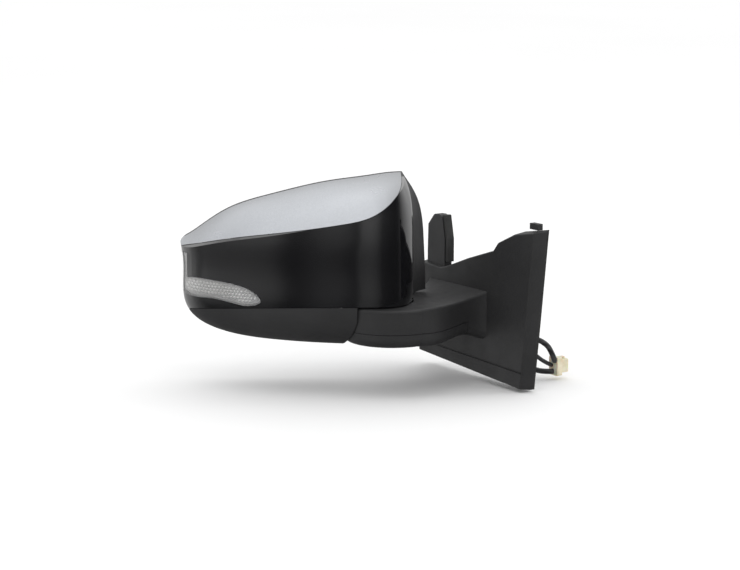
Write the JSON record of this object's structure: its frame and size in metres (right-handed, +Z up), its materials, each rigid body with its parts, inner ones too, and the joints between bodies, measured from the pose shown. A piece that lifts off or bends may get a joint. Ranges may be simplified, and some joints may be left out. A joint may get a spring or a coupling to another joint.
{
  "type": "car door mirror",
  "caption": "Right-hand car door mirror with two-tone head, clear turn-signal lens, power-folding arm, powered tilting glass, triangular door base and wiring lead with plug.",
  "frame": {"origin": "centre of the three-stud circle, on the door face of the base gasket", "axes": "+X into the door along the studs, +Z up, -Y to the front of the car; the head reaches out along -X and is swept to the rear"},
  "size_m": [0.3414, 0.269, 0.2099],
  "materials": {
    "cap_paint": "silver metallic with clear coat",
    "piano_black": "high gloss",
    "textured_black": "fine grain",
    "clear_lens": "polished clear moulding",
    "light_guide": "prismatic clear moulding",
    "signal_grey": "satin",
    "board": "solder mask",
    "led": "amber",
    "natural_plastic": "glass-filled",
    "white_acetal": "satin",
    "zinc_steel": "zinc plated",
    "ground_steel": "ground",
    "cast_alloy": "die cast",
    "rubber_black": "matt",
    "lead_black": "cloth tape",
    "ivory_nylon": "natural nylon",
    "heater_film": "film",
    "mirror": "silvered glass"
  },
  "bodies": {
    "base": {"base_cover": "textured_black", "arm_lower_cover": "textured_black", "base_bracket": "cast_alloy", "mount_studs": "zinc_steel", "base_gasket": "rubber_black", "finger_seal": "rubber_black", "base_clip": "textured_black", "harness_grommet": "rubber_black", "harness_lead_upper": "lead_black", "harness_lead_middle": "lead_black", "harness_lead_lower": "lead_black", "connector": "ivory_nylon", "connector_latch": "ivory_nylon", "pivot_post": "ground_steel", "post_screws": "zinc_steel", "detent_ring_lower": "ground_steel", "fold_gear": "ground_steel", "fold_spring": "ground_steel", "spring_cap": "zinc_steel"},
    "head": {"upper_cap": "cap_paint", "front_cover": "piano_black", "lower_cover": "textured_black", "rear_housing": "textured_black", "signal_lens": "clear_lens", "signal_light_guide": "light_guide", "signal_housing": "signal_grey", "signal_board": "board", "signal_leds": "led", "head_frame": "natural_plastic", "frame_screws": "zinc_steel", "gearbox_housing": "natural_plastic", "gearbox_lid": "natural_plastic", "fold_motor": "zinc_steel", "detent_ring_upper": "ground_steel", "actuator_housing": "natural_plastic", "actuator_cover": "natural_plastic", "motor_yaw": "zinc_steel", "motor_pitch": "zinc_steel"},
    "fold_worm": {"fold_worm": "zinc_steel"},
    "gimbal": {"gimbal_ring": "natural_plastic"},
    "glass": {"glass_holder": "natural_plastic", "heater_pad": "heater_film", "mirror_glass": "mirror"},
    "plunger_yaw": {"plunger_yaw": "white_acetal"},
    "plunger_pitch": {"plunger_pitch": "white_acetal"},
    "drive_gear_yaw": {"drive_gear_yaw": "white_acetal"},
    "drive_gear_pitch": {"drive_gear_pitch": "white_acetal"}
  },
  "joints": [
    {"name": "fold", "type": "hinge", "parent": "base", "child": "head", "pos_m": [-0.11436, -0.00218, 0.046], "axis": [0, 0, -1], "range_deg": [-45, 55]},
    {"name": "fold_worm_spin", "type": "hinge", "parent": "head", "child": "fold_worm", "pos_m": [-0.12782, -0.01617, 0.046], "axis": [0.848, -0.5299, 0], "range_deg": [-1100, 1330]},
    {"name": "glass_yaw", "type": "hinge", "parent": "head", "child": "gimbal", "pos_m": [-0.17182, 0.08325, 0.077], "axis": [0, 0, 1], "range_deg": [-8, 8]},
    {"name": "glass_pitch", "type": "hinge", "parent": "gimbal", "child": "glass", "pos_m": [-0.17182, 0.08325, 0.077], "axis": [0.848, -0.5299, 0], "range_deg": [-8, 8]},
    {"name": "plunger_yaw_slide", "type": "slide", "parent": "head", "child": "plunger_yaw", "axis": [0.5299, 0.848, 0], "range_m": [-0.0036, 0.0036]},
    {"name": "plunger_pitch_slide", "type": "slide", "parent": "head", "child": "plunger_pitch", "axis": [0.5299, 0.848, 0], "range_m": [-0.0036, 0.0036]},
    {"name": "drive_gear_yaw_spin", "type": "hinge", "parent": "head", "child": "drive_gear_yaw", "pos_m": [-0.19217, 0.09597, 0.077], "axis": [0.5299, 0.848, 0], "range_deg": [-320, 320]},
    {"name": "drive_gear_pitch_spin", "type": "hinge", "parent": "head", "child": "drive_gear_pitch", "pos_m": [-0.17182, 0.08325, 0.053], "axis": [0.5299, 0.848, 0], "range_deg": [-320, 320]}
  ],
  "couplings": [
    {"joint": "fold_worm_spin", "follows": "fold", "ratio": 24},
    {"joint": "plunger_yaw_slide", "follows": "glass_yaw", "m_per_rad": -0.024},
    {"joint": "plunger_pitch_slide", "follows": "glass_pitch", "m_per_rad": 0.024},
    {"joint": "drive_gear_yaw_spin", "follows": "glass_yaw", "ratio": -37.699},
    {"joint": "drive_gear_pitch_spin", "follows": "glass_pitch", "ratio": 37.699}
  ]
}
